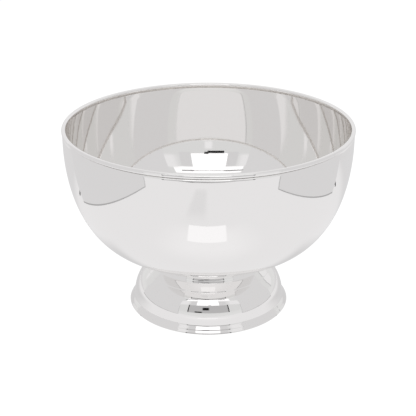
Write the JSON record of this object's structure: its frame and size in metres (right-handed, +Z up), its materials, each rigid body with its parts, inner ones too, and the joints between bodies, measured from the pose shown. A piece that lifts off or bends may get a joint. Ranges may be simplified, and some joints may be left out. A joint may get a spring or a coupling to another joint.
{
  "type": "punch bowl",
  "caption": "Footed punch bowl: a deep spun metal bowl with a rolled edge, bolted to a banded conical foot.",
  "frame": {"origin": "centre of the foot's resting face, which is the middle of the base of the bounding box", "axes": "+Z up along the bowl's axis of turning; the front faces -Y"},
  "size_m": [0.3658, 0.3658, 0.2452],
  "materials": {
    "bowl_steel": "spun stainless sheet, polished to a mirror",
    "foot_steel": "spun stainless sheet, polished to a mirror",
    "wire_steel": "drawn wire",
    "gasket_rubber": "moulded, matt",
    "pressed_steel": "pressed, dull",
    "plated_steel": "zinc plated"
  },
  "bodies": {
    "root": {"bowl_shell": "bowl_steel", "rim_wire": "wire_steel", "foot_skirt": "foot_steel", "foot_gasket": "gasket_rubber", "mounting_disc": "pressed_steel", "foot_stud": "plated_steel", "clamp_plate": "pressed_steel", "flat_washer": "plated_steel", "spring_washer": "plated_steel", "stud_nut": "plated_steel"}
  },
  "joints": []
}
